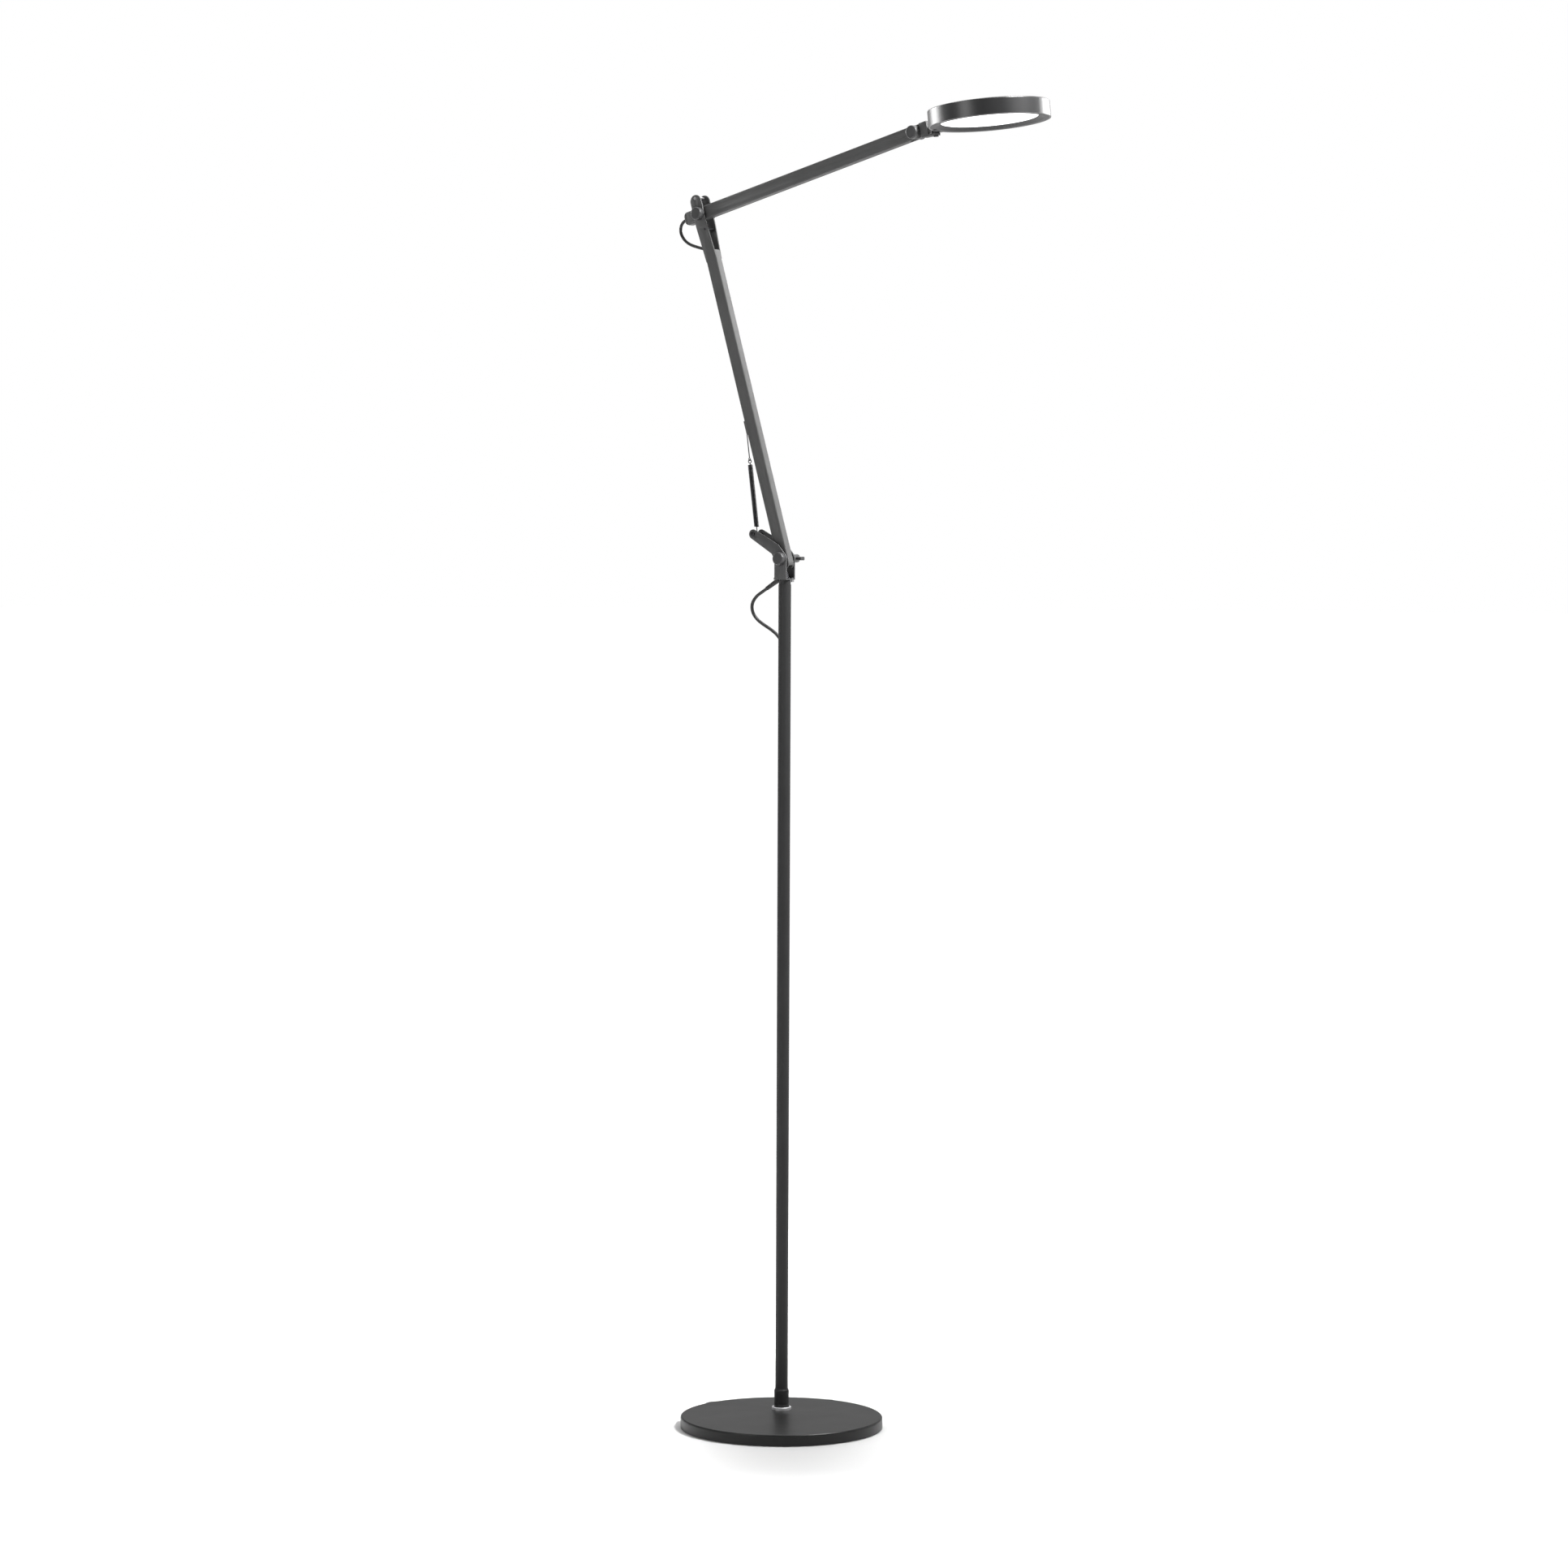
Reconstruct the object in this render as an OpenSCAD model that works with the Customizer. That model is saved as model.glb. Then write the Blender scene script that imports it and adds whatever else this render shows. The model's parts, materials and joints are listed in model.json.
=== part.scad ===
// Adjustable arm floor lamp: a weighted round base, a slim pole, a swivel bracket
// with a balance spring, two hinged box-section arms and a flat round LED head.
// Origin: foot of the pole's axis, on the floor. +Z up. The arms swing in the XZ plane.

/* [Base] */
// Diameter of the weighted base
base_d = 255; // [220:1:300]
// Thickness of the base plate
base_t = 14; // [10:0.5:20]
// Distance of the pole behind the base's centre
base_off = 44; // [0:1:60]
// Thickness of the pad under the base plate
pad_t = 1; // [0.5:0.5:3]

/* [Pole] */
// Outer diameter of the pole
pole_d = 16; // [14:0.5:17]
// Height of the shoulder hinge above the floor
shoulder_z = 1095.5; // [1050:0.5:1250]

/* [Arms] */
// Height of the arms' box section
arm_h = 17; // [16:0.5:20]
// Width of the arms' box section
arm_w = 11; // [10:0.5:12]
// Wall of the box section
arm_wall = 1.6; // [1.2:0.1:2]
// Hinge to hinge length of the lower arm
lower_len = 455.5; // [350:0.5:520]
// Hinge to hinge length of the upper arm
upper_len = 347.5; // [280:0.5:420]

/* [Stance at rest] */
// Backward lean of the lower arm from upright
lower_lean = 17.1; // [10:0.1:22]
// Rise of the upper arm above level
upper_rise = 14.9; // [5:0.1:25]
// Tilt of the lamp head, front edge up
ring_tilt = 6.5; // [0:0.5:12]

/* [Head] */
// Diameter of the lamp head
ring_d = 149.4; // [130:0.2:170]
// Height of the lamp head
ring_h = 20; // [18:0.5:26]

/* [Cord] */
// Diameter of the mains cord
cord_d = 4.2; // [4:0.1:5]

/* [Hidden] */
$fn = 64;

base_top = base_t + pad_t;
foot_washer_d = 24.5;
foot_washer_t = 3.5;
collar_d = 18.6;
collar_h = 23;
pole_wall = 1.2;
foot_z = base_top + foot_washer_t;      // underside of the pole
web_z = shoulder_z - 26.5;              // underside of the bracket's web
bush_t = 3.2;                           // swivel bush between pole plug and web
pole_top = web_z - bush_t - 3;          // upper end of the pole tube
sheet_t = 1.6;                          // bracket sheet
bracket_w = 18.7;                       // bracket over its two side plates
bracket_front = 9;                      // half depth of the upright side plates
gap_w = bracket_w - 2 * sheet_t;        // space between the side plates
pin_at = [-44.3, 30.3];                 // lever pin from the shoulder hinge, X and Z
bolt_d = 6;
run = 0.05;                             // radial clearance of a running fit
cap_d = 16.4;
cap_t = 6.6;
fork_w = 19.2;                          // fork over its two cheeks
fork_gap = fork_w - 2 * arm_wall;
fork_notch = 50;                        // where the fork's notch starts, below the elbow
fork_top = 24.5;                        // cheeks stand this far above the elbow
stop_at = 20.5;                         // stop pin above the elbow, along the arm
spacer_at = 22;                         // spacer below the elbow, along the arm
wire_d = 1.3;
spring_lean = 7.8;
spring_d = 6.3;
spring_from = 9;                        // coil's ends, from the lever pin
spring_to = 88.5;
guide_from = 166;                       // wire guide along the lower arm
guide_to = 184;
wire_slot = [144, 212];                 // slot for the wire in the arm's rear wall
lobe = 24.5;                            // upper arm's tail behind the elbow
jumper_d = 4;
lead_d = 3;                             // inner leads and their offset from the arms' axes
lead_off = 4.9;
tongue_w = 4.6;                         // neck's tongue in the upper arm's slotted end
slot_w = 5;
neck_reach = 110.9;                     // head centre in front of the tilt hinge
neck_drop = 5;                          // head's underside below the tilt hinge
pan_u = -81.5;                          // pan pivot behind the head's centre
shell = 2;
bezel_in = 59.5;
bezel_flat = 66;
gland_dir = 31;                         // cord's downward angle where it leaves
gland_len = 22;
gland_at = [-10, 0, web_z - 0.4];
clip_z = [939.5, 690, 430, 180];
clip_len = 7;
behind = 128;                           // direction behind the pole, degrees from +X
elbow = [-lower_len * sin(lower_lean), 0, shoulder_z + lower_len * cos(lower_lean)];
tilt_at = elbow + upper_len * [cos(upper_rise), 0, sin(upper_rise)];

// ---- places -----------------------------------------------------------------
module at_shoulder() { translate([0, 0, shoulder_z]) children(); }
module lower_frame() { at_shoulder() rotate([0, -lower_lean, 0]) children(); }
module elbow_frame() { lower_frame() translate([0, 0, lower_len]) children(); }
module upper_frame() { translate(elbow) rotate([0, -upper_rise, 0]) children(); }
module tilt_frame() { upper_frame() translate([upper_len, 0, 0]) children(); }
module head_frame() {
    translate(tilt_at) rotate([0, -ring_tilt, 0]) translate([neck_reach, 0, -neck_drop]) children();
}
module spring_frame() {
    translate([pin_at[0], 0, shoulder_z + pin_at[1]]) rotate([0, -spring_lean, 0]) children();
}
module rear_frame() { rotate([0, 0, behind - 90]) children(); }
module gland_frame() { translate(gland_at) rotate([0, -90 - gland_dir, 0]) children(); }

// ---- shapes -----------------------------------------------------------------
// round bar along Y, from y0 to y1
module y_rod(d, y0, y1) { translate([0, y0, 0]) rotate([-90, 0, 0]) cylinder(d = d, h = y1 - y0); }
// outline in the XZ plane, given thickness along Y
module y_slab(y0, y1) { translate([0, y1, 0]) rotate([90, 0, 0]) linear_extrude(y1 - y0) children(); }
// two circles joined by their outer tangents
module link(p, rp, q, rq) {
    d = q - p;
    len = norm(d);
    a = atan2(d[1], d[0]);
    b = acos((rp - rq) / len);
    function rim(c, r, ang) = c + r * [cos(ang), sin(ang)];
    translate(p) circle(rp);
    translate(q) circle(rq);
    polygon([rim(p, rp, a + b), rim(p, rp, a - b), rim(q, rq, a - b), rim(q, rq, a + b)]);
}
module round_rect(w, h, r) {
    square([w - 2 * r, h], center = true);
    square([w, h - 2 * r], center = true);
    for (i = [-1, 1], j = [-1, 1]) translate([i * (w / 2 - r), j * (h / 2 - r)]) circle(r);
}
// disc with a rounded outer edge, flat side at z = 0
module soft_disc(d, t, r) {
    rotate_extrude() {
        square([d / 2 - r, t]);
        square([d / 2, t - r]);
        translate([d / 2 - r, t - r]) circle(r);
    }
}
// cap on a hinge: side -1 faces the near side, +1 the far side
module hinge_cap(y, side) { translate([0, y, 0]) rotate([-90 * side, 0, 0]) soft_disc(cap_d, cap_t, 1.6); }
module box_section() { round_rect(arm_h, arm_w, 1.3); }
module box_hollow() { square([arm_h - 2 * arm_wall, arm_w - 2 * arm_wall], center = true); }
module ring_of(r_out, r_in, h) {
    difference() {
        cylinder(r = r_out, h = h);
        translate([0, 0, -1]) cylinder(r = r_in, h = h + 2);
    }
}
// a shape and its mirror image across the arms' swing plane
module both_sides() {
    children();
    mirror([0, 1, 0]) children();
}
// ring whose wire is round, lying in the XZ plane
module eye(r, wire) { rotate([90, 0, 0]) rotate_extrude() translate([r, 0]) circle(d = wire, $fn = 24); }

// ---- cord sweep -------------------------------------------------------------
function unit(v) = v / norm(v);
function tangent(p, i) = unit(p[min(i + 1, len(p) - 1)] - p[max(i - 1, 0)]);
function side_of(t) = unit(cross(t, abs(t[1]) < 0.9 ? [0, 1, 0] : [1, 0, 0]));
// carry the side vector along the route so that the tube doesn't twist
function carry(p, i) =
    i == 0 ? side_of(tangent(p, 0))
    : let (t = tangent(p, i), s = carry(p, i - 1)) unit(s - (s * t) * t);
function ring_at(p, i, r, n) =
    let (t = tangent(p, i), s = carry(p, i), u = cross(t, s))
    [for (k = [0 : n - 1]) p[i] + r * (cos(360 * k / n) * s + sin(360 * k / n) * u)];
// Catmull-Rom points between the route's own points
function spline(p, m) = [
    for (i = [0 : len(p) - 2], j = [0 : m - 1])
        let (a = p[max(i - 1, 0)], b = p[i], c = p[i + 1], d = p[min(i + 2, len(p) - 1)], t = j / m)
        0.5 * (2 * b + (c - a) * t + (2 * a - 5 * b + 4 * c - d) * t * t
            + (3 * b - a - 3 * c + d) * t * t * t),
    p[len(p) - 1]];
module tube(p, d, n = 8) {
    rings = [for (i = [0 : len(p) - 1]) ring_at(p, i, d / 2, n)];
    pts = [for (r = rings) each r];
    last = (len(p) - 1) * n;
    walls = [for (i = [0 : len(p) - 2], k = [0 : n - 1])
        [i * n + k, i * n + (k + 1) % n, (i + 1) * n + (k + 1) % n, (i + 1) * n + k]];
    ends = [[for (k = [n - 1 : -1 : 0]) k], [for (k = [0 : n - 1]) last + k]];
    polyhedron(points = pts, faces = concat(walls, ends), convexity = 4);
}

// ---- cord routes, chosen by hand, in millimetres ----------------------------
// a point of the rear frame in the lamp's own frame
function rear(p) = let (a = behind - 90)
    [p[0] * cos(a) - p[1] * sin(a), p[0] * sin(a) + p[1] * cos(a), p[2]];
gland_end = gland_at + gland_len * [-cos(gland_dir), 0, -sin(gland_dir)];
loop_route = [gland_end, [-36, 0, 1053], [-43, 0, 1048.8], [-49, 0.6, 1043.7], [-53.4, 1.8, 1037.5],
    [-54.9, 3.3, 1030.5], [-53, 5, 1023.3], [-48.5, 6.8, 1017.3], [-42.3, 8.4, 1012.5],
    [-35, 9.9, 1008.1], [-27.5, 11, 1003.5], [-20.5, 11.6, 998], [-14.3, 11.4, 990.8],
    [-9.8, 10.3, 981.5], [-7.3, 9, 971], rear([0, 10.7, 959.5])];
// the next two lie in the rear frame: across, out behind the pole, up
drop_route = [[0, 10.7, 959.5], [0, 10.7, 860], [0, 10.7, 770], [0, 10.7, 690], [0, 10.7, 600],
    [0, 10.7, 510], [0, 10.7, 420], [0, 10.7, 330], [0, 10.7, 240], [0, 10.7, 160], [0, 10.7, 110],
    [0, 11.2, 82], [0, 12.8, 62], [0, 16.5, 45], [0, 23, 31], [0, 33, 21.5], [0, 46, 17.5],
    [0, 58, 17.2], [0, 71, 17.3], [0, 80, 17.8], [0, 86, 16.2], [0, 90.5, 12.9], [0, 94.8, 9.9],
    [-0.2, 100, 7.8]];
tail_route = [[-33.4, 84.6, 2.7], [-25.3, 85.7, 2.7], [-16.3, 87.2, 2.7], [-6.6, 89.7, 2.7],
    [1.9, 92.5, 2.7], [8, 94.3, 2.7], [14, 95.4, 2.8], [20, 95.6, 3.3], [25.5, 95.1, 4.3],
    [30.5, 93.6, 5.25]];
coil_turn = 18;                         // cord store's place round the base, from straight behind
coil_at = 150.8;                        // from the base's centre
coil_half = 35.5;                       // half length of its straight runs
coil_in = 10.5;
coil_out = 19.3;
coil_lift = 0.6;
plug_turn = -18;                        // plug's direction in the rear frame
relief_len = 12;
plug_len = 24;
plug_w = 18;
plug_h = 10.5;

// ---- base and pole ----------------------------------------------------------
module base_plate() {
    color("#2a2a2a") difference() {
        rear_frame() translate([0, -base_off, pad_t]) soft_disc(base_d, base_t, 2.2);
        translate([0, 0, -1]) cylinder(d = 8.4, h = base_top + 2);
        translate([0, 0, -1]) cylinder(d = 26, h = 6 + 1);
    }
}
module base_pad() {
    color("#151515") rear_frame() translate([0, -base_off, 0]) cylinder(d = base_d - 8, h = pad_t);
}
module base_bolt() {
    color("#9a9a9a") {
        translate([0, 0, 1.4]) cylinder(d = 14, h = 4.6);
        translate([0, 0, 6]) cylinder(d = 8, h = foot_z + 20 - 6);
    }
}
module foot_washer() {
    color("silver") translate([0, 0, base_top]) difference() {
        soft_disc(foot_washer_d, foot_washer_t, 0.6);
        translate([0, 0, -1]) cylinder(d = 8.4, h = foot_washer_t + 2);
    }
}
module pole_collar() {
    bore = pole_d + 0.2;
    color("#202020") translate([0, 0, foot_z]) rotate_extrude() polygon([[bore / 2, 0],
        [collar_d / 2 + 0.5, 0], [collar_d / 2 + 0.5, 1.5], [collar_d / 2, 3],
        [collar_d / 2, collar_h - 2], [collar_d / 2 - 1.0, collar_h], [bore / 2, collar_h]]);
}
module pole_tube() {
    color("#1c1c1c") translate([0, 0, foot_z])
        ring_of(pole_d / 2, pole_d / 2 - pole_wall, pole_top - foot_z);
}
module pole_foot_plug() {
    color("#8a8a8a") translate([0, 0, foot_z]) ring_of(pole_d / 2 - pole_wall, 4, 28);
}
module pole_top_plug() {
    color("#181818") difference() {
        union() {
            translate([0, 0, pole_top - 25]) cylinder(r = pole_d / 2 - pole_wall, h = 25);
            translate([0, 0, pole_top]) cylinder(d = pole_d - 1, h = 3);
        }
        translate([0, 0, pole_top - 26]) cylinder(d = bolt_d, h = 30);
    }
}
module swivel_stud() {
    from = pole_top - 22;
    color("#8d8d8d") translate([0, 0, from]) cylinder(d = bolt_d, h = web_z + 10.4 - from);
}
module swivel_bush() {
    color("#d8d8d2") translate([0, 0, web_z - bush_t]) ring_of(7.5, bolt_d / 2 + run, bush_t);
}
module swivel_nut() {
    color("#3c3c3c") translate([0, 0, web_z + sheet_t]) difference() {
        union() {
            cylinder(d = 13, h = 1.2);
            translate([0, 0, 1.2]) cylinder(d = 11.5, h = 5.6, $fn = 6);
            translate([0, 0, 6.8]) cylinder(d = 8.6, h = 1.6);
        }
        translate([0, 0, -1]) cylinder(d = bolt_d, h = 12);
    }
}

// ---- swivel bracket ---------------------------------------------------------
module bracket_side() {
    bend = [-8.5, 11.5];
    link(pin_at, 6, bend, 7.6);
    link(bend, 7.6, [0, 0], bracket_front);
    translate([-bracket_front - 0.6, web_z - shoulder_z])
        square([2 * bracket_front + 0.6, shoulder_z - web_z]);
    translate([-bracket_front - 1.6, web_z - shoulder_z]) square([2, 2.4]);
}
module bracket() {
    color("#3a3a3a") difference() {
        union() {
            at_shoulder() for (y = [-bracket_w / 2, bracket_w / 2 - sheet_t])
                y_slab(y, y + sheet_t) bracket_side();
            translate([-bracket_front - 0.6, -bracket_w / 2, web_z])
                cube([2 * bracket_front + 0.6, bracket_w, sheet_t]);
        }
        translate([0, 0, web_z - 1]) cylinder(d = bolt_d + 2 * run, h = 4);
        at_shoulder() y_rod(bolt_d, -20, 20);
        at_shoulder() translate([pin_at[0], 0, pin_at[1]]) y_rod(4, -20, 20);
        gland_frame() translate([0, 0, -6]) cylinder(d = 6.4, h = 20);
        translate([6.9, 6.9, web_z - 1]) cylinder(d = 2.4, h = 4);
    }
}
module bracket_rivet() {
    color("#d0d0d0") translate([6.9, 6.9, 0]) {
        translate([0, 0, web_z - 3]) cylinder(d = 3.8, h = 3);
        translate([0, 0, web_z]) cylinder(d = 2.4, h = sheet_t + 0.8);
    }
}
module lever_pin() {
    color("#c8c8c8") at_shoulder() translate([pin_at[0], 0, pin_at[1]]) {
        y_rod(4, -bracket_w / 2 - 0.6, bracket_w / 2 + 0.6);
        y_rod(6.4, -bracket_w / 2 - 1.4, -bracket_w / 2);
        y_rod(6.4, bracket_w / 2, bracket_w / 2 + 1.4);
    }
}
module shoulder_bolt() {
    color("#8d8d8d") at_shoulder() y_rod(bolt_d, -bracket_w / 2 - 3, bracket_w / 2 + 12);
}
module shoulder_cap() {
    color("#232323") at_shoulder() difference() {
        hinge_cap(-bracket_w / 2, -1);
        y_rod(bolt_d, -bracket_w / 2 - 3, 0);
    }
}
module shoulder_washers() {
    color("#101010") at_shoulder() both_sides() difference() {
        y_rod(14, arm_w / 2 + 0.05, gap_w / 2 - 0.05);
        y_rod(bolt_d + 2 * run, 0, 12);
    }
}
module clamp_washer() {
    color("#262626") at_shoulder() difference() {
        y_rod(14, bracket_w / 2, bracket_w / 2 + 2.2);
        y_rod(bolt_d + 2 * run, 0, 20);
    }
}
module clamp_knob() {
    from = bracket_w / 2 + 2.3;
    color("#1a1a1a") at_shoulder() difference() {
        union() {
            y_rod(10.5, from, from + 13);
            translate([0, from + 8, 0]) rotate([0, 90, 0]) translate([0, 0, -13])
                linear_extrude(26) round_rect(4.6, 8, 1.6);
        }
        y_rod(bolt_d + 2 * run, 0, bracket_w / 2 + 12.3);
    }
}

// ---- balance spring ---------------------------------------------------------
module balance_spring() {
    color("#151515") spring_frame() {
        eye(2.9, 1.2);
        translate([0, 0, 3.2]) cylinder(d = 1.2, h = spring_from - 3.2);
        translate([0, 0, spring_from]) cylinder(d = spring_d, h = spring_to - spring_from);
        translate([0, 0, spring_to]) cylinder(d = 1.2, h = 1.8);
        translate([0, 0, spring_to + 4]) eye(2.2, 1.2);
    }
}
module balance_wire() {
    top_eye = spring_to + 6.7;
    color("#4a4a4a") spring_frame() {
        translate([0, 0, top_eye]) rotate([0, 0, 90]) eye(1.7, 1);
        translate([0, 0, top_eye + 1.8]) cylinder(d = wire_d, h = 176 - top_eye - 1.8);
    }
}

// ---- lower arm with its fork ------------------------------------------------
// cheek of the fork, seen along the arm's depth: Y across, Z along the arm
module cheek_outline() {
    y0 = arm_w / 2;
    y1 = fork_w / 2;
    polygon([[y0 - arm_wall, -62], [y0, -62], [y1, -16], [y1, fork_top + 1], [y1 - arm_wall, fork_top + 1],
        [y1 - arm_wall, -15.6], [y0 - arm_wall, -61.6]]);
}
module lower_arm() {
    foot = 14.2;
    color("#3d3d3d") difference() {
        union() {
            lower_frame() intersection() {
                translate([0, 0, -foot]) linear_extrude(lower_len + foot - fork_notch) box_section();
                y_slab(-10, 10) {
                    translate([0, arm_h / 2 - foot]) circle(d = arm_h);
                    translate([-arm_h / 2, arm_h / 2 - foot]) square([arm_h, lower_len]);
                }
            }
            elbow_frame() intersection() {
                both_sides() translate([-arm_h / 2, 0, 0]) rotate([90, 0, 90])
                    linear_extrude(arm_h) cheek_outline();
                y_slab(-20, 20) {
                    translate([0, fork_top - arm_h / 2]) circle(d = arm_h);
                    translate([-arm_h / 2, -80]) square([arm_h, 80 + fork_top - arm_h / 2]);
                }
            }
        }
        lower_frame() translate([0, 0, -20]) linear_extrude(lower_len + 20 - 55) box_hollow();
        lower_frame() translate([0, 0, lower_len - 56]) linear_extrude(10) box_hollow();
        lower_frame() y_rod(bolt_d + 2 * run, -20, 20);
        elbow_frame() y_rod(bolt_d, -20, 20);
        elbow_frame() translate([0, 0, stop_at]) y_rod(4, -20, 20);
        elbow_frame() translate([3.6, 0, -spacer_at]) y_rod(3, -20, 20);
        lower_frame() translate([-arm_h / 2 - 1, -1.5, wire_slot[0]])
            cube([4, 3, wire_slot[1] - wire_slot[0]]);
    }
}
module lower_arm_block() {
    color("#2b2b2b") lower_frame() difference() {
        translate([0, 0, -9]) linear_extrude(30)
            square([arm_h - 2 * arm_wall - 0.2, arm_w - 2 * arm_wall - 0.2], center = true);
        y_rod(bolt_d + 2 * run, -20, 20);
        translate([lead_off, 0, -20]) cylinder(d = 3.2, h = 50);
    }
}
module wire_guide() {
    color("#303030") lower_frame() for (s = [-1, 1])
        translate([-arm_h / 2 - 3.2, s * 2.1 - 0.7, guide_from]) cube([3.2, 1.4, guide_to - guide_from]);
}
module fork_spacer() {
    color("#1b1b1b") elbow_frame() translate([3.6, 0, -spacer_at]) {
        y_rod(3, -fork_w / 2, fork_w / 2);
        y_rod(4, 0.9 - fork_gap / 2, fork_gap / 2 - 0.9);
    }
}
module fork_stop_pin() {
    color("#c8c8c8") elbow_frame() translate([0, 0, stop_at]) y_rod(4, -fork_w / 2, fork_w / 2);
}
module elbow_bolt() { color("#8d8d8d") elbow_frame() y_rod(bolt_d, -fork_w / 2 - 3, fork_w / 2 + 3); }
module elbow_caps() {
    color("#232323") elbow_frame() difference() {
        for (s = [-1, 1]) hinge_cap(s * fork_w / 2, s);
        y_rod(bolt_d, -fork_w / 2 - 3, fork_w / 2 + 3);
    }
}
module elbow_washers() {
    color("#101010") elbow_frame() both_sides() difference() {
        y_rod(14, arm_w / 2 + 0.05, fork_gap / 2 - 0.05);
        y_rod(bolt_d + 2 * run, 0, 12);
    }
}
// short lead that bridges the elbow behind the arms, in the elbow's own X and Z
jumper_route = [[-19.4, 0, -4.8], [-24, 0, -6], [-28.5, 0, -7.4], [-32.8, 0, -10], [-35.8, 0, -14],
    [-36.8, 0, -19], [-35.8, 0, -24.3], [-32.8, 0, -29.3], [-28.3, 0, -33.8], [-22.8, 0, -37.2],
    [-17, 0, -39.5], [-11, 0, -41.2], [-4, 0, -43], [7.2, 0, -45.2]];
module elbow_lead() { color("#101010") translate(elbow) tube(spline(jumper_route, 2), jumper_d); }
module lower_arm_lead() {
    color("#151515") lower_frame() translate([lead_off, 0, -9]) cylinder(d = lead_d, h = lower_len - 53);
}

// ---- upper arm --------------------------------------------------------------
module upper_arm() {
    cut = 10.2;
    color("#3d3d3d") upper_frame() difference() {
        intersection() {
            translate([-lobe + 2.2, 0, 0]) rotate([0, 90, 0]) linear_extrude(upper_len + lobe + 6.3)
                box_section();
            y_slab(-10, 10) {
                translate([upper_len, 0]) circle(d = arm_h);
                translate([-lobe, -arm_h / 2]) square([upper_len + lobe, arm_h]);
            }
        }
        translate([-lobe, 0, 0]) rotate([0, 90, 0]) linear_extrude(upper_len + lobe - 16) box_hollow();
        translate([upper_len - cut, -slot_w / 2, -arm_h]) cube([30, slot_w, 2 * arm_h]);
        y_rod(bolt_d + 2 * run + 2, -20, 20);
        translate([upper_len, 0, 0]) y_rod(5, -20, 20);
        translate([upper_len - 17, 0, 0]) rotate([0, 90, 0]) cylinder(d = 3.4, h = 10);
    }
}
module upper_arm_end_cap() {
    color("#3a3a3a") upper_frame() difference() {
        union() {
            intersection() {
                translate([-lobe - 2, 0, 0]) rotate([0, 90, 0]) linear_extrude(4.2) box_section();
                y_slab(-10, 10) {
                    for (z = [-1, 1]) translate([4 - lobe, z * 2.5]) circle(r = 6);
                    translate([-lobe - 2, -2.5]) square([6, 5]);
                }
            }
            translate([-lobe + 2.2, 0, 0]) rotate([0, 90, 0]) linear_extrude(9)
                square([arm_h - 2 * arm_wall - 0.2, arm_w - 2 * arm_wall - 0.2], center = true);
        }
        translate([-lobe - 5, 0, 0.4]) rotate([0, 90, 0]) cylinder(d = 4.6, h = 30);
    }
}
module upper_arm_bush() {
    color("#1d1d1d") upper_frame() difference() {
        y_rod(bolt_d + 2 * run + 2, -arm_w / 2, arm_w / 2);
        y_rod(bolt_d + 2 * run, -20, 20);
    }
}
module upper_arm_lead() {
    color("#151515") upper_frame() translate([8, 0, lead_off])
        rotate([0, 90, 0]) cylinder(d = lead_d, h = upper_len - 30);
}
module tilt_pin() { color("#8d8d8d") tilt_frame() y_rod(5, -arm_w / 2 - 3, arm_w / 2 + 3); }
module tilt_caps() {
    color("#232323") tilt_frame() difference() {
        for (s = [-1, 1]) hinge_cap(s * arm_w / 2, s);
        y_rod(5, -arm_w / 2 - 3, arm_w / 2 + 3);
    }
}

// ---- neck and head ----------------------------------------------------------
module neck() {
    lip_t = 2.4;
    lip_top = -0.8;
    color("#3d3d3d") difference() {
        union() {
            tilt_frame() {
                y_slab(-tongue_w / 2, tongue_w / 2) {
                    circle(r = 8.3);
                    translate([0, -8.3]) square([12, 16.6]);
                }
                translate([9.6, 0, 0]) rotate([0, 90, 0]) linear_extrude(11) box_section();
            }
            head_frame() translate([pan_u, 0, lip_top - lip_t]) {
                cylinder(r = 5.4, h = lip_t);
                translate([-18, -5.4, 0]) cube([18, 10.8, lip_t]);
                translate([-18, -5.4, 0]) cube([9.8, 10.8, 5]);
            }
        }
        tilt_frame() y_rod(5 + 2 * run, -20, 20);
        head_frame() translate([pan_u, 0, -5]) cylinder(d = 4 + 2 * run, h = 6);
    }
}
module pan_washer() {
    color("#101010") head_frame() translate([pan_u, 0, -0.8]) ring_of(5, 2 + run, 0.8);
}
module pan_screw() {
    color("#555555") head_frame() translate([pan_u, 0, 0]) {
        translate([0, 0, -3.2 - 1.6]) soft_disc(6.4, 1.6, 0.5);
        translate([0, 0, -3.2]) cylinder(d = 4, h = 11);
    }
}
module head_housing() {
    color("#242424") head_frame() difference() {
        union() {
            soft_disc(ring_d, ring_h, 1.2);
            linear_extrude(11) {
                translate([pan_u, 0]) circle(r = 5.4);
                translate([pan_u, -5.4]) square([12, 10.8]);
            }
        }
        translate([0, 0, -1]) cylinder(r = ring_d / 2 - shell, h = ring_h - shell + 1);
        translate([pan_u, 0, -1]) cylinder(d = 4, h = 9);
    }
}
module head_bezel() {
    r = ring_d / 2 - shell;
    color("#333333") head_frame() difference() {
        rotate_extrude() polygon([[bezel_flat, 0], [r, 0], [r, 4], [bezel_in, 4], [bezel_in, 3.4]]);
        rotate([0, 0, 199]) translate([70, 0, -1]) cylinder(d = 5, h = 7);
    }
}
module diffuser() { color("#ffffff") head_frame() translate([0, 0, 4]) cylinder(r = 66, h = 2); }
module led_board() { color("#f2f2ee") head_frame() translate([0, 0, 11]) cylinder(r = 62, h = 1.6); }
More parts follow.
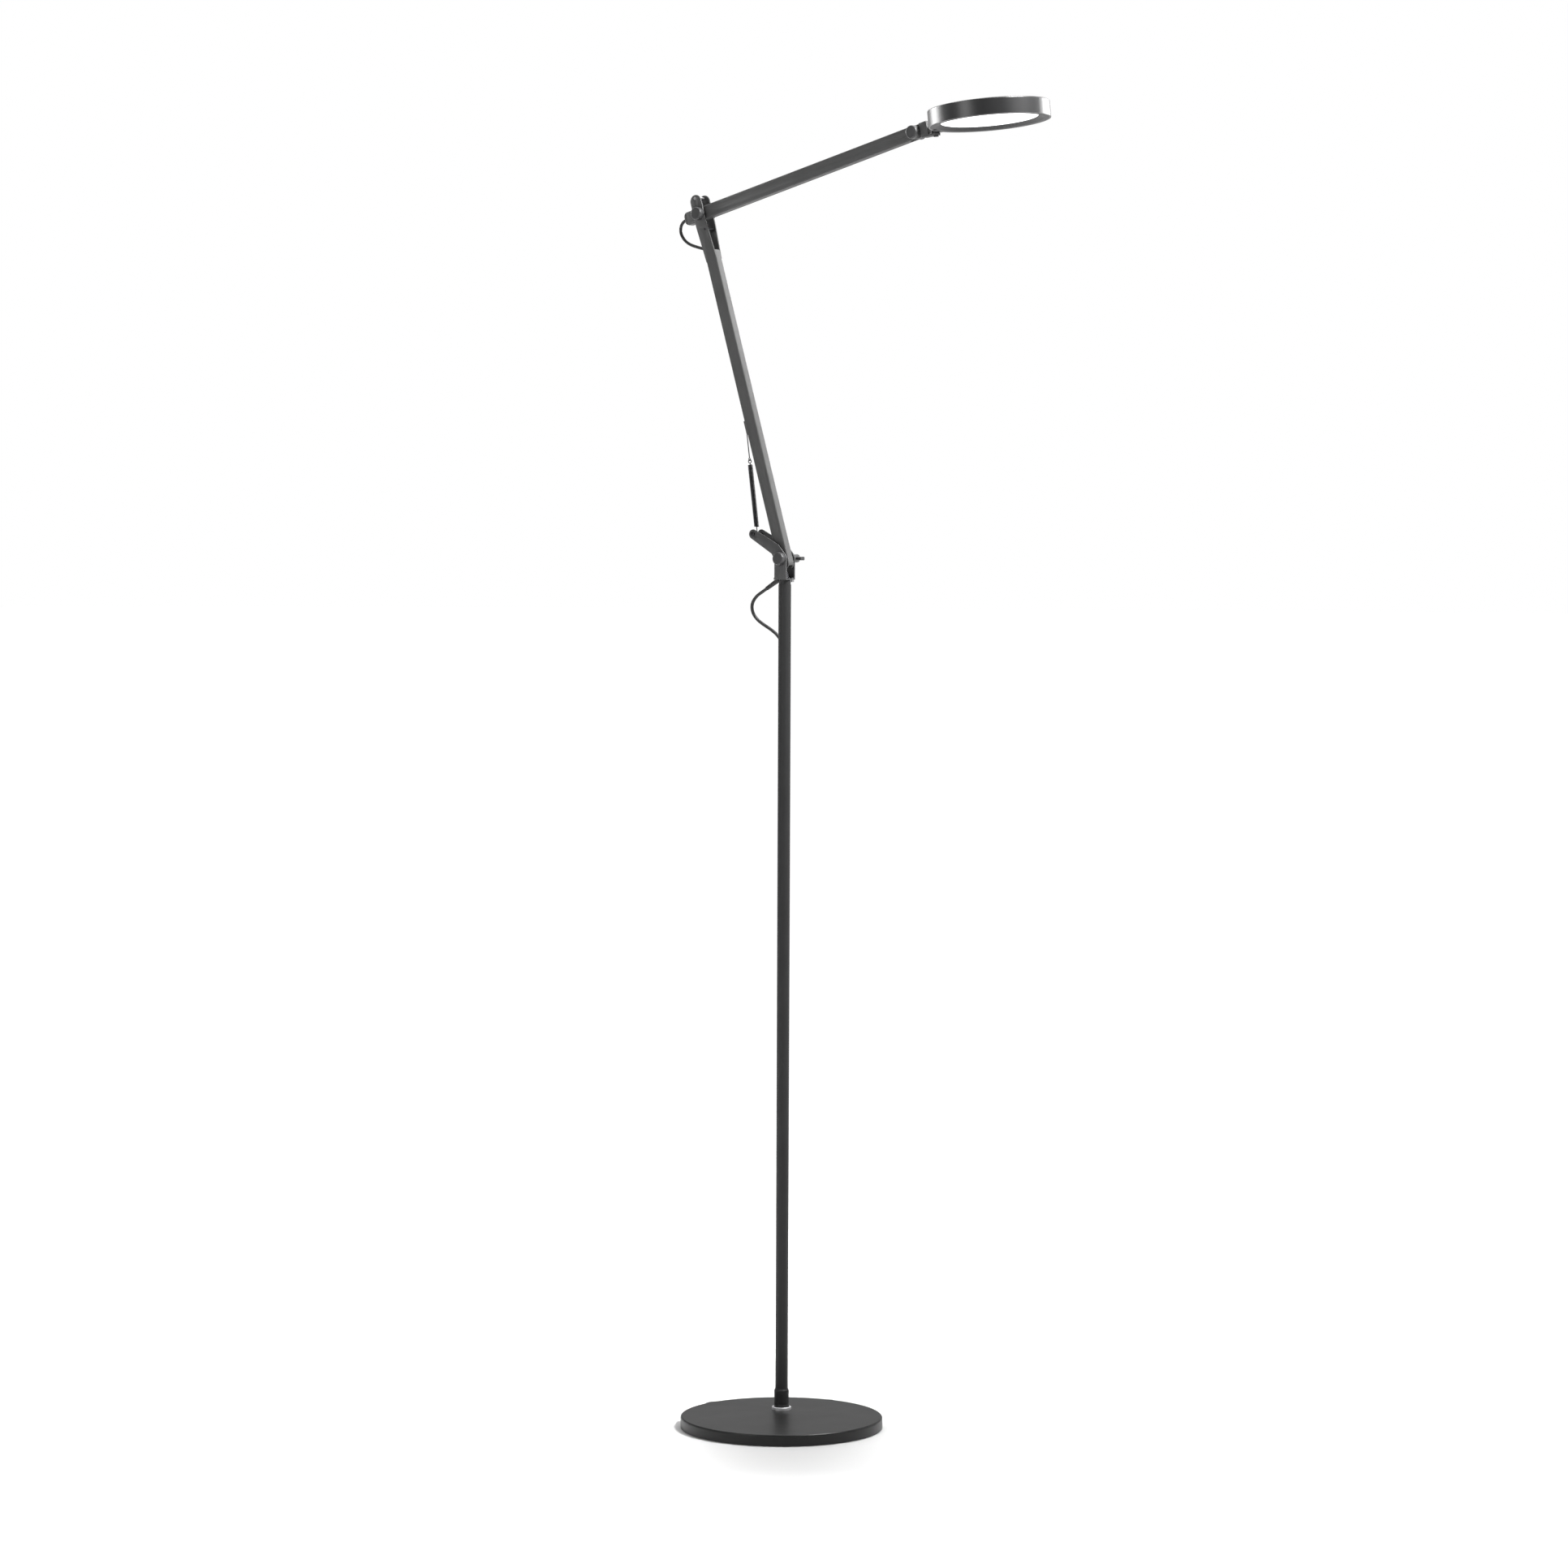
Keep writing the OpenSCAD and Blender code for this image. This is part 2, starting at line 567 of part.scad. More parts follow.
module leds() {
    color("#fff2c0") head_frame() for (ring = [[24, 8], [42, 16], [56, 24]], k = [0 : ring[1] - 1])
        rotate([0, 0, 360 * k / ring[1]]) translate([ring[0] - 1.4, -1.75, 10.2]) cube([2.8, 3.5, 0.8]);
}
module heat_plate() {
    color("silver") head_frame() translate([0, 0, 12.6]) difference() {
        cylinder(r = 70, h = 1.5);
        for (k = [0 : 2]) rotate([0, 0, 120 * k + 60]) translate([66, 0, -1]) cylinder(d = 3, h = 4);
    }
}
module driver_board() {
    color("#2e6b3a") head_frame() translate([-20, 0, 14.2]) {
        translate([-24, -15, 0]) cube([48, 30, 1.2]);
        translate([-18, -9, 1.2]) cube([12, 12, 2.2]);
        translate([2, -8, 1.2]) cube([9, 14, 2]);
    }
}
module plate_screws() {
    color("#b0b0b0") head_frame() for (k = [0 : 2]) rotate([0, 0, 120 * k + 60]) translate([66, 0, 0]) {
        translate([0, 0, 11]) cylinder(d = 5.4, h = 1.6);
        translate([0, 0, 12.6]) cylinder(d = 3, h = 5.4);
    }
}
module power_button() {
    color("#5a5a5a") head_frame() rotate([0, 0, 199]) translate([70, 0, -1]) cylinder(d = 4.8, h = 5.2);
}
module button_switch() {
    color("#111111") head_frame() rotate([0, 0, 199]) translate([69.8, 0, 0]) {
        translate([-2.6, -2.6, 6.2]) cube([5, 5.2, 6.4]);
        translate([0, 0, 5]) cylinder(d = 2.4, h = 1.2);
    }
}

// ---- mains cord -------------------------------------------------------------
module cord_gland() {
    color("#161616") gland_frame() difference() {
        union() {
            translate([0, 0, -0.6]) cylinder(d = 6.4, h = 4.6);
            translate([0, 0, 4]) cylinder(d1 = 6, d2 = 5, h = gland_len - 4);
        }
        translate([0, 0, 5]) cylinder(d = cord_d, h = gland_len);
    }
}
module cord_loop() { color("#101010") tube(spline(loop_route, 2), cord_d); }
module cord_drop() { color("#101010") tube([for (p = drop_route) rear(p)], cord_d); }
// the flat-wound store of cord: two turns of a racetrack, in one layer
module coil_frame() {
    rear_frame() translate([0, -base_off, 0]) rotate([0, 0, coil_turn])
        translate([0, coil_at, coil_lift]) children();
}
module racetrack(r) {
    for (s = [-1, 1]) translate([s * coil_half, 0]) circle(r);
    square([2 * coil_half, 2 * r], center = true);
}
module cord_coil() {
    color("#101010") coil_frame() difference() {
        linear_extrude(cord_d) racetrack(coil_out);
        translate([0, 0, -1]) linear_extrude(cord_d + 2) racetrack(coil_in);
    }
}
module cord_tail() { color("#101010") tube([for (p = tail_route) rear(p)], cord_d); }
module cord_ties() {
    wide = coil_out - coil_in;
    color("#303030") coil_frame() for (s = [-1, 1])
        translate([-3.5, s * (coil_in + wide / 2), cord_d / 2]) rotate([90, 0, 90])
            linear_extrude(7) difference() {
                round_rect(wide + 1.4, cord_d + 1.2, 0.8);
                square([wide + 0.1, cord_d + 0.1], center = true);
            }
}
// small saddles stuck to the back of the pole
module cord_clips() {
    from_axis = pole_d / 2 + 2.75;
    color("#1a1a1a") for (z = clip_z) rotate([0, 0, behind]) translate([0, 0, z]) difference() {
        union() {
            translate([from_axis, 0, 0]) cylinder(d = cord_d + 2.4, h = clip_len);
            translate([from_axis - 4, -4, 0]) cube([2.4, 8, clip_len]);
        }
        translate([from_axis, 0, -1]) cylinder(d = cord_d + 0.1, h = clip_len + 2);
        translate([0, 0, -1]) cylinder(d = pole_d, h = clip_len + 2);
    }
}
// the plug lies on its flat side, its cord end at the origin and its blades toward +X
module plug_frame() {
    rear_frame() translate(tail_route[len(tail_route) - 1]) rotate([0, 0, plug_turn]) children();
}
module plug_body() {
    color("#141414") plug_frame() {
        rotate([0, 90, 0]) cylinder(d1 = 5.4, d2 = 8, h = relief_len);
        translate([relief_len, 0, 0]) rotate([90, 0, 90]) linear_extrude(plug_len)
            round_rect(plug_w, plug_h, 3);
    }
}
module plug_blades() {
    blade = [16, 1.5, 6.3];
    color("#c9a650") plug_frame() for (s = [-1, 1])
        translate([relief_len + plug_len, s * 6.35 - blade[1] / 2, -blade[2] / 2]) difference() {
            cube(blade);
            translate([12, -1, blade[2] / 2]) rotate([-90, 0, 0]) cylinder(d = 3, h = 4);
        }
}

base_plate();
base_pad();
base_bolt();
foot_washer();
pole_collar();
pole_tube();
pole_foot_plug();
pole_top_plug();
swivel_stud();
swivel_bush();
swivel_nut();
bracket();
bracket_rivet();
lever_pin();
shoulder_bolt();
shoulder_cap();
shoulder_washers();
clamp_washer();
clamp_knob();
balance_spring();
balance_wire();
lower_arm();
lower_arm_block();
wire_guide();
fork_spacer();
fork_stop_pin();
elbow_bolt();
elbow_caps();
elbow_washers();
elbow_lead();
lower_arm_lead();
upper_arm();
upper_arm_end_cap();
upper_arm_bush();
upper_arm_lead();
tilt_pin();
tilt_caps();
neck();
pan_washer();
pan_screw();
head_housing();
head_bezel();
diffuser();
led_board();
leds();
heat_plate();
driver_board();
plate_screws();
power_button();
button_switch();
cord_gland();
cord_loop();
cord_drop();
cord_coil();
cord_tail();
cord_ties();
cord_clips();
plug_body();
plug_blades();
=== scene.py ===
"""Adjustable arm floor lamp: cords, spring, softened sheet edges and finishes round the CAD frame.

Lengths are in metres, in the frame's own axes: +Z up the pole, arms swinging in the XZ plane.
"""

import json
import math

import bmesh
import bpy
from bpy.props import FloatProperty, FloatVectorProperty, IntProperty, PointerProperty
from mathutils import Matrix, Vector


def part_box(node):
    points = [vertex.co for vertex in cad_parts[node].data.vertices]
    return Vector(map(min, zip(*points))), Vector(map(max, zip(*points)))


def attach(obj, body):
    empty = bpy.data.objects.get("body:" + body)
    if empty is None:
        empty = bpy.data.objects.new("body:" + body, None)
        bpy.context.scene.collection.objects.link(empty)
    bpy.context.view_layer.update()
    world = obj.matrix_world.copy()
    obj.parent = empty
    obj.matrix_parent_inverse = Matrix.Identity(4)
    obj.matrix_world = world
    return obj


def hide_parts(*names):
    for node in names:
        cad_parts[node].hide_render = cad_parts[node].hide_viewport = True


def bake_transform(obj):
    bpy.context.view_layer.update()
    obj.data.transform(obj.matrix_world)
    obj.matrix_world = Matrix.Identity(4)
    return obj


bl_info = {
    "name": "Adjustable Arm Floor Lamp",
    "version": (1, 0, 0),
    "blender": (4, 5, 0),
    "location": "View3D > Sidebar > Floor Lamp",
    "description": "Builds the cords, balance spring, softened sheet parts and finishes of a floor lamp",
    "category": "Object",
}

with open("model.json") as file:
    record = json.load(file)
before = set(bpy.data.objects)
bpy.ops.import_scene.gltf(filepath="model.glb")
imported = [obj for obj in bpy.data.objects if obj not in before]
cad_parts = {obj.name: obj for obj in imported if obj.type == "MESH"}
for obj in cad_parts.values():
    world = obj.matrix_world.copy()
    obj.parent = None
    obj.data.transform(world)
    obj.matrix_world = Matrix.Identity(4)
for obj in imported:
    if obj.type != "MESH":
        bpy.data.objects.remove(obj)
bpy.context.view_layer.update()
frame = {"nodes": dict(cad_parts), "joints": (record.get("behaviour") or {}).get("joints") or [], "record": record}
JOINTS = {j["name"]: j for j in frame["joints"]}
MM = 0.001

# ---- places taken from the frame ---------------------------------------------


def joint_place(name):
    """Point of a joint in the lamp's frame."""
    return Vector(JOINTS[name]["pos_m"])


ELBOW = joint_place("elbow")
LEVER_PIN = joint_place("spring_swing")
REAR_TURN = math.radians(38)  # turn of the rear frame, whose Y runs away behind the pole

# ---- cord routes, in millimetres ---------------------------------------------

GLAND_AT = Vector((-10, 0, 1068.6))
GLAND_DROP = math.radians(31)
GLAND_RUN = Vector((-math.cos(GLAND_DROP), 0, -math.sin(GLAND_DROP)))
GLAND_END = GLAND_AT + 22 * GLAND_RUN
LOOP_ROUTE = [
    (-36, 0, 1053), (-43, 0, 1048.8), (-49, 0.6, 1043.7), (-53.4, 1.8, 1037.5), (-54.9, 3.3, 1030.5),
    (-53, 5, 1023.3), (-48.5, 6.8, 1017.3), (-42.3, 8.4, 1012.5), (-35, 9.9, 1008.1),
    (-27.5, 11, 1003.5), (-20.5, 11.6, 998), (-14.3, 11.4, 990.8), (-9.8, 10.3, 981.5), (-7.3, 9, 971),
]
# in the rear frame: across, out behind the pole, up
DROP_ROUTE = [
    (0, 10.7, 959.5), (0, 10.7, 860), (0, 10.7, 770), (0, 10.7, 690), (0, 10.7, 600), (0, 10.7, 510),
    (0, 10.7, 420), (0, 10.7, 330), (0, 10.7, 240), (0, 10.7, 160), (0, 10.7, 110), (0, 11.2, 82),
    (0, 12.8, 62), (0, 16.5, 45), (0, 23, 31), (0, 33, 21.5), (0, 46, 17.5), (0, 58, 17.2),
    (0, 71, 17.3), (0, 80, 17.8), (0, 86, 16.2), (0, 90.5, 12.9), (0, 94.8, 9.9), (-0.2, 100, 7.8),
]
TAIL_ROUTE = [(8, 94.3, 2.7), (14, 95.4, 2.8), (20, 95.6, 3.3), (25.5, 95.1, 4.3), (30.5, 93.6, 5.25)]
HANK_TURN = math.radians(18)
HANK_AT = 150.8  # from the base's centre, which lies in front of the pole
BASE_OFF = 44
HANK_HALF = 35.5  # half length of the hank's straight runs
HANK_Z = 2.7
INNER, OUTER = 12.6, 17.2  # radii of the hank's two turns
# short lead across the elbow, from the elbow hinge, in its X and Z
JUMPER_ROUTE = [
    (-19.4, -4.8), (-24, -6), (-28.5, -7.4), (-32.8, -10), (-35.8, -14), (-36.8, -19),
    (-35.8, -24.3), (-32.8, -29.3), (-28.3, -33.8), (-22.8, -37.2), (-17, -39.5), (-11, -41.2),
    (-4, -43), (7.2, -45.2),
]

# ---- balance spring, from the lever pin --------------------------------------

SPRING_LEAN = math.radians(-7.8)
WOUND_FROM, WOUND_TO = 9 * MM, 88.5 * MM
PIN_EYE = (0, 2.9 * MM)  # height and radius of the eye round the lever pin
WIRE_EYE = (92.5 * MM, 2.2 * MM)  # and of the eye that takes the wire
STEPS_PER_TURN = 20


def rear(p):
    """A point of the rear frame in the lamp's frame."""
    c, s = math.cos(REAR_TURN), math.sin(REAR_TURN)
    return Vector((p[0] * c - p[1] * s, p[0] * s + p[1] * c, p[2]))


def hank(x, y, z=HANK_Z):
    """A point of the hank, along and across its straight runs, in the lamp's frame."""
    c, s = math.cos(HANK_TURN), math.sin(HANK_TURN)
    out = HANK_AT + y
    return rear((x * c - out * s, x * s + out * c - BASE_OFF, z))


def hank_bend(side, angle, radius, z=HANK_Z):
    """A point on the round end of the hank at side +1 or -1."""
    a = math.radians(angle)
    return hank(side * HANK_HALF + radius * math.cos(a), radius * math.sin(a), z)


def hank_points():
    """Two flat turns: the lead lands inside, runs round twice and leaves along the outside."""
    points = [hank_bend(1, -40, 14.3, 7.3), hank_bend(1, -22, 12.8, 6.2), hank_bend(1, 0, INNER, 4.4),
              hank_bend(1, 22, INNER, 3.1)]
    points += [hank_bend(1, a, INNER) for a in (45, 68, 90)]
    points += [hank(x, INNER) for x in (18, 0, -18)]
    points += [hank_bend(-1, a, INNER) for a in (90, 115, 140, 165, 195, 220, 245, 270)]
    points += [hank(-18, -INNER), hank(0, -INNER), hank(14, -INNER - 0.7), hank(26, -INNER - 2.1)]
    points += [hank_bend(1, -84, 15.6), hank_bend(1, -66, 16.8)]
    points += [hank_bend(1, a, OUTER) for a in (-45, -22, 0, 22, 45, 68, 90)]
    points += [hank(x, OUTER) for x in (18, 0, -18)]
    points += [hank_bend(-1, a, OUTER) for a in (90, 112, 134, 156, 180, 204, 226, 248, 270)]
    points += [hank(-18, -OUTER), hank(-2, -OUTER), hank(8, -18.2), hank(16, -19.6), hank(25, -21),
               hank(35, -21.6), hank(44, -21.6)]
    return points


def mains_route():
    """The mains cord's centreline from inside its gland to its plug, in metres."""
    points = [GLAND_AT + 9 * GLAND_RUN, GLAND_AT + 15 * GLAND_RUN, GLAND_END]
    points += [Vector(p) for p in LOOP_ROUTE]
    points += [rear(p) for p in DROP_ROUTE] + hank_points() + [rear(p) for p in TAIL_ROUTE]
    return smooth_line([MM * p for p in points], 4)


def jumper_route():
    """The elbow lead's centreline, in metres."""
    return smooth_line([ELBOW + MM * Vector((x, 0, z)) for x, z in JUMPER_ROUTE], 5)


def smooth_line(points, steps):
    """Points on a smooth curve through the given ones."""
    out = []
    for i in range(len(points) - 1):
        a, b = points[max(i - 1, 0)], points[i]
        c, d = points[i + 1], points[min(i + 2, len(points) - 1)]
        reach = (c - b).length
        into = (c - a) * (reach / max((c - a).length, 1e-9))
        away = (d - b) * (reach / max((d - b).length, 1e-9))
        for k in range(steps):
            t = k / steps
            out.append((2 * t**3 - 3 * t**2 + 1) * b + (t**3 - 2 * t**2 + t) * into
                       + (3 * t**2 - 2 * t**3) * c + (t**3 - t**2) * away)
    return out + [points[-1]]


def line_length(points):
    return sum((b - a).length for a, b in zip(points, points[1:]))


# ---- settings ----------------------------------------------------------------


def colour(name, description, value):
    return FloatVectorProperty(name=name, description=description, subtype="COLOR", size=3, min=0, max=1,
                               default=value)


def length(name, description, value):
    return FloatProperty(name=name, description=description, default=value, min=0, unit="LENGTH",
                         precision=4)


class LampSizes(bpy.types.PropertyGroup):
    """Sizes of the pieces made here."""

    cord: length("Mains cord", "Diameter of the mains cord", 0.0042)
    jumper: length("Elbow lead", "Diameter of the lead across the elbow", 0.004)
    spring_wire: length("Spring wire", "Diameter of the balance spring's wire", 0.00115)
    spring_coil: length("Spring coil", "Outer diameter of the balance spring", 0.0063)
    spring_turns: IntProperty(name="Spring turns", description="Turns of the balance spring", default=62,
                              min=8)
    sheet_edge: length("Sheet edge", "Rounding of the folded sheet's edges", 0.0003)
    section_edge: length("Section edge", "Rounding of the arms' cut ends", 0.00035)


class LampColours(bpy.types.PropertyGroup):
    """Colours of the finishes."""

    powder: colour("Powder coat", "Base and pole", (0.014, 0.014, 0.0143))
    arm: colour("Arm coat", "Arms and neck", (0.055, 0.055, 0.055))
    sheet: colour("Sheet coat", "Swivel bracket", (0.056, 0.056, 0.057))
    moulded: colour("Moulded", "Caps, knob and clips", (0.034, 0.034, 0.035))
    shade: colour("Shade", "Lamp head", (0.011, 0.011, 0.0115))
    bezel: colour("Bezel", "Ring under the lamp head", (0.018, 0.018, 0.0185))
    rubber: colour("Rubber", "Cords, gland and pads", (0.014, 0.014, 0.014))
    zinc: colour("Zinc", "Bright fasteners", (0.62, 0.62, 0.63))
    oxide: colour("Black oxide", "Spring, wire and nut", (0.045, 0.045, 0.048))


class LampStage(bpy.types.PropertyGroup):
    """Camera and light."""

    lens: FloatProperty(name="Lens", description="Focal length", default=112.75, min=1,
                        subtype="DISTANCE_CAMERA")
    distance: length("Distance", "Camera from the pole's axis, along the floor", 6.185)
    height: length("Height", "Camera above the floor", 1.1921)
    azimuth: FloatProperty(name="Azimuth", description="Camera round the pole", default=math.radians(38),
                           subtype="ANGLE")
    pitch: FloatProperty(name="Pitch", description="Camera looking down", default=math.radians(3.523),
                         subtype="ANGLE")
    roll: FloatProperty(name="Roll", description="Camera turned about its view", default=math.radians(0.233),
                        subtype="ANGLE")
    glow: FloatProperty(name="Glow", description="Brightness of the lit diffuser", default=1.15, min=0)
    room: FloatProperty(name="Room light", description="Strength of the even light", default=0.5, min=0)
    key: FloatProperty(name="Key light", description="Power of the large light overhead", default=70, min=0,
                       subtype="POWER")
    side: FloatProperty(name="Side light", description="Power of the tall side lights", default=30, min=0,
                        subtype="POWER")
    rim: FloatProperty(name="Rim light", description="Power of the two panels behind the head", default=2.3,
                       min=0, subtype="POWER")


# ---- mesh helpers ------------------------------------------------------------


def finish_mesh(bm, name, crease=35):
    """Turns a bmesh into a linked object with smooth shading up to the crease angle in degrees."""
    mesh = bpy.data.meshes.new(name)
    bm.to_mesh(mesh)
    bm.free()
    mesh.shade_smooth()
    mesh.set_sharp_from_angle(angle=math.radians(crease))
    piece = bpy.data.objects.new(name, mesh)
    bpy.context.collection.objects.link(piece)
    return piece


def put(piece, body, material, replaces=()):
    """Gives a piece its finish, its body and the CAD nodes that it stands for."""
    piece.data.materials.clear()
    piece.data.materials.append(material)
    if body:
        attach(piece, body)
    if replaces:
        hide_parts(*replaces)
    return piece


def body_of_node(node):
    bodies = frame["record"]["behaviour"]["bodies"]
    return next(body for body, nodes in bodies.items() if node in nodes)


def slot_of_node(node):
    return next(s["material_slot"] for s in frame["record"]["subparts"] if s["node"] == node)


def softened(node, name, width, material, segments=2):
    """A copy of a CAD node with its loose triangles joined and its sharp edges rounded."""
    bm = bmesh.new()
    bm.from_mesh(frame["nodes"][node].data)
    bmesh.ops.remove_doubles(bm, verts=bm.verts, dist=1e-6)
    bmesh.ops.dissolve_limit(bm, angle_limit=math.radians(0.6), verts=bm.verts, edges=bm.edges)
    sharp = [e for e in bm.edges if e.is_manifold and e.calc_face_angle(0) > math.radians(32)]
    bmesh.ops.bevel(bm, geom=sharp, offset=width, offset_type="OFFSET", affect="EDGES", segments=segments,
                    profile=0.5, material=-1, clamp_overlap=True)
    bmesh.ops.remove_doubles(bm, verts=bm.verts, dist=1e-6)
    bmesh.ops.triangulate(bm, faces=[f for f in bm.faces if len(f.verts) > 4])
    piece = finish_mesh(bm, name)
    return put(piece, body_of_node(node), material, [node])


def wire_tube(name, points, diameter, sides=12):
    """A round tube on a line of points, as a mesh with closed ends."""
    curve = bpy.data.curves.new(name, "CURVE")
    curve.dimensions = "3D"
    curve.bevel_depth = diameter / 2
    curve.bevel_resolution = max(0, sides // 4 - 1)
    curve.use_fill_caps = True
    spline = curve.splines.new("POLY")
    spline.points.add(len(points) - 1)
    for point, place in zip(spline.points, points):
        point.co = (*place, 1)
    maker = bpy.data.objects.new(name + "_line", curve)
    bpy.context.collection.objects.link(maker)
    bpy.context.view_layer.update()
    mesh = bpy.data.meshes.new_from_object(maker.evaluated_get(bpy.context.evaluated_depsgraph_get()))
    bpy.data.objects.remove(maker)
    bm = bmesh.new()
    bm.from_mesh(mesh)
    bpy.data.meshes.remove(mesh)
    bmesh.ops.remove_doubles(bm, verts=bm.verts, dist=1e-7)
    bmesh.ops.recalc_face_normals(bm, faces=bm.faces)
    return finish_mesh(bm, name, 60)


# ---- finishes ----------------------------------------------------------------


class Finish:
    """A node material with small helpers for wiring textures on Object coordinates."""

    def __init__(self, name):
        self.material = bpy.data.materials.new(name)
        self.material.use_nodes = True
        self.tree = self.material.node_tree
        self.shader = self.tree.nodes["Principled BSDF"]
        self.place = self.tree.nodes.new("ShaderNodeTexCoord").outputs["Object"]

    def stretched(self, scale):
        node = self.tree.nodes.new("ShaderNodeMapping")
        node.inputs["Scale"].default_value = scale
        self.tree.links.new(self.place, node.inputs["Vector"])
        return node.outputs["Vector"]

    def noise(self, scale, detail=2.0, roughness=0.5, vector=None):
        node = self.tree.nodes.new("ShaderNodeTexNoise")
        node.inputs["Scale"].default_value = scale
        node.inputs["Detail"].default_value = detail
        node.inputs["Roughness"].default_value = roughness
        self.tree.links.new(vector or self.place, node.inputs["Vector"])
        return node.outputs["Fac"]

    def cells(self, scale, vector=None):
        node = self.tree.nodes.new("ShaderNodeTexVoronoi")
        node.inputs["Scale"].default_value = scale
        self.tree.links.new(vector or self.place, node.inputs["Vector"])
        return node.outputs["Distance"]

    def ramp(self, source, low, high, dark, light):
        node = self.tree.nodes.new("ShaderNodeValToRGB")
        first, last = node.color_ramp.elements
        first.position, last.position = low, high
        first.color, last.color = (*dark, 1), (*light, 1)
        self.tree.links.new(source, node.inputs["Fac"])
        return node.outputs["Color"]

    def spread(self, source, low, high):
        node = self.tree.nodes.new("ShaderNodeMapRange")
        node.inputs["To Min"].default_value = low
        node.inputs["To Max"].default_value = high
        self.tree.links.new(source, node.inputs["Value"])
        return node.outputs["Result"]

    def measured(self, operation, point, near, far, at_near, at_far, step="SMOOTHSTEP", place=None):
        """Smooth step over a distance from a point, or over a run along a direction."""
        node = self.tree.nodes.new("ShaderNodeVectorMath")
        node.operation = operation
        node.inputs[1].default_value = point
        self.tree.links.new(place or self.place, node.inputs[0])
        reach = self.tree.nodes.new("ShaderNodeMapRange")
        reach.interpolation_type = step
        reach.clamp = step != "LINEAR"
        sockets = ("From Min", "From Max", "To Min", "To Max")
        for socket, value in zip(sockets, (near, far, at_near, at_far)):
            reach.inputs[socket].default_value = value
        self.tree.links.new(node.outputs["Value"], reach.inputs["Value"])
        return reach.outputs["Result"]

    def joined(self, a, b, share):
        node = self.tree.nodes.new("ShaderNodeMix")
        node.inputs["Factor"].default_value = share
        self.tree.links.new(a, node.inputs["A"])
        self.tree.links.new(b, node.inputs["B"])
        return node.outputs["Result"]

    def bump(self, source, strength, depth):
        node = self.tree.nodes.new("ShaderNodeBump")
        node.inputs["Strength"].default_value = strength
        node.inputs["Distance"].default_value = depth
        self.tree.links.new(source, node.inputs["Height"])
        self.tree.links.new(node.outputs["Normal"], self.shader.inputs["Normal"])

    def link(self, source, socket):
        self.tree.links.new(source, self.shader.inputs[socket])

    def set(self, **values):
        for socket, value in values.items():
            self.shader.inputs[socket.replace("_", " ")].default_value = value


def shade(base, factor):
    return tuple(min(1.0, c * factor) for c in base)


def coated(name, base, rough=(0.5, 0.62), specular=0.4, grain=1500, depth=0.00012, strength=0.35):
    """Powder coat: fine orange-peel grain with a faint cloudiness."""
    f = Finish(name)
    clouds = f.noise(22, 3.0)
    peel = f.joined(f.noise(grain, 2.0), f.cells(grain * 0.8), 0.35)
    mottle = f.joined(clouds, peel, 0.35)
    f.link(f.ramp(mottle, 0.3, 0.7, shade(base, 0.84), shade(base, 1.18)), "Base Color")
    f.link(f.spread(clouds, *rough), "Roughness")
    f.bump(peel, strength, depth)
    f.set(Specular_IOR_Level=specular)
    return f.material


def moulded(name, base, rough=(0.34, 0.44), specular=0.45, glossy=False):
    """Injection-moulded plastic: satin, with faint flow clouds and a fine spark texture."""
    f = Finish(name)
    flow = f.noise(45, 4.0, vector=f.stretched((1, 1, 0.4)))
    spark = f.noise(3800, 1.0)
    f.link(f.ramp(flow, 0.3, 0.7, shade(base, 0.9), shade(base, 1.12)), "Base Color")
    f.link(f.spread(flow, *rough), "Roughness")
    f.bump(spark, 0.06 if glossy else 0.14, 0.00004)
    f.set(Specular_IOR_Level=specular)
    return f.material


def metal(name, base, rough=(0.22, 0.38), along=(1, 1, 40)):
    """Turned or drawn metal with fine lines and light clouding."""
    f = Finish(name)
    lines = f.noise(420, 3.0, vector=f.stretched(along))
    clouds = f.noise(90, 3.0)
    both = f.joined(lines, clouds, 0.4)
    f.link(f.ramp(both, 0.3, 0.7, shade(base, 0.8), shade(base, 1.12)), "Base Color")
    f.link(f.spread(both, *rough), "Roughness")
    f.bump(lines, 0.12, 0.00005)
    f.set(Metallic=1.0)
    return f.material


def rubbery(name, base, rough=(0.5, 0.66)):
    """Soft jacket or rubber: matte, with fine scuffs and dusting."""
    f = Finish(name)
    scuffs = f.noise(700, 4.0, 0.65)
    dust = f.noise(60, 3.0)
    f.link(f.ramp(f.joined(scuffs, dust, 0.5), 0.3, 0.75, shade(base, 0.8), shade(base, 1.5)), "Base Color")
    f.link(f.spread(scuffs, *rough), "Roughness")
    f.bump(scuffs, 0.12, 0.00005)
    f.set(Specular_IOR_Level=0.35)
    return f.material


def opal(name, glow):
    """Lit opal sheet: even white with a barely visible grain."""
    f = Finish(name)
    grain = f.noise(240, 2.0)
    white = f.ramp(grain, 0.2, 0.8, (0.96, 0.965, 0.975), (1.0, 1.0, 1.0))
    f.link(white, "Base Color")
    f.link(white, "Emission Color")
    f.link(f.spread(grain, 0.4, 0.5), "Roughness")
    f.set(Emission_Strength=glow)
    return f.material


def circuit(name, mask, copper):
    """Circuit board: solder mask over a faint pattern of tracks."""
    f = Finish(name)
    tracks = f.cells(260, vector=f.stretched((1, 1, 0.01)))
    f.link(f.ramp(tracks, 0.35, 0.45, copper, mask), "Base Color")
    f.link(f.spread(tracks, 0.3, 0.45), "Roughness")
    f.bump(tracks, 0.1, 0.00005)
    return f.material


PAINTED_SHADOW_WIDE, PAINTED_SHADOW_LONG = 0.22, 0.58  # reach of the painted shadow, a grey pool on the floor, across and to the front
PAINTED_SHADOW_FROM = 0.076  # its middle, in front of the pole, as a share of its length


